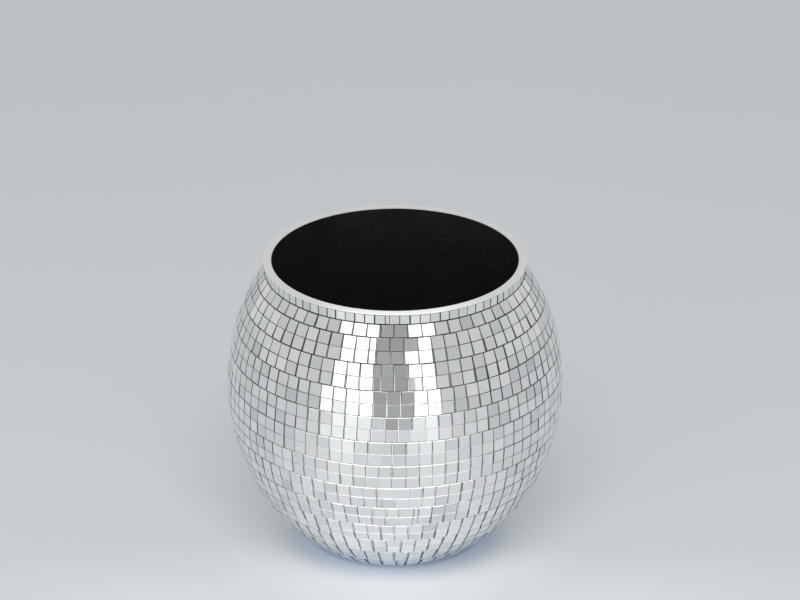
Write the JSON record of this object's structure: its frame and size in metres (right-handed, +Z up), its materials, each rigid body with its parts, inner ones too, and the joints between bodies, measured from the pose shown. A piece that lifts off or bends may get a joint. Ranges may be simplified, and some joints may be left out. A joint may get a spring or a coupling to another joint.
{
  "type": "mirror mosaic champagne bucket",
  "caption": "Round-bellied open bucket for bottles and ice, covered with small square mirror tiles, with a lift-out liner whose pale metal rim closes the neck.",
  "frame": {"origin": "middle of the base pad's underside, on the surface that the bucket stands on", "axes": "+Z up through the middle of the mouth; -Y is the side where the closing joints of the strips are"},
  "size_m": [0.2762, 0.2763, 0.2462],
  "materials": {
    "mirror": "flat silvered glass, cut edges",
    "cloth": "plain woven tape",
    "shell": "moulded, matt",
    "collar": "moulded, matt",
    "liner": "black enamel, semi-gloss",
    "rim": "spun, satin",
    "pad": "foam sheet, matt"
  },
  "bodies": {
    "bucket": {"base_pad": "pad", "lower_shell": "shell", "upper_shell": "shell", "neck_collar": "collar", "neck_cloth_backing": "cloth", "shoulder_cloth_backing": "cloth", "cloth_backing_01": "cloth", "cloth_backing_02": "cloth", "cloth_backing_03": "cloth", "cloth_backing_04": "cloth", "cloth_backing_05": "cloth", "cloth_backing_06": "cloth", "cloth_backing_07": "cloth", "cloth_backing_08": "cloth", "cloth_backing_09": "cloth", "cloth_backing_10": "cloth", "cloth_backing_11": "cloth", "cloth_backing_12": "cloth", "neck_mirror_row": "mirror", "shoulder_mirror_row": "mirror", "mirror_strip_01": "mirror", "mirror_strip_02": "mirror", "mirror_strip_03": "mirror", "mirror_strip_04": "mirror", "mirror_strip_05": "mirror", "mirror_strip_06": "mirror", "mirror_strip_07": "mirror", "mirror_strip_08": "mirror", "mirror_strip_09": "mirror", "mirror_strip_10": "mirror", "mirror_strip_11": "mirror", "mirror_strip_12": "mirror"},
    "liner": {"ice_liner": "liner", "rim_ring": "rim"}
  },
  "joints": [
    {"name": "liner_lift", "type": "slide", "parent": "bucket", "child": "liner", "axis": [0, 0, 1], "range_m": [0, 0.24]}
  ]
}
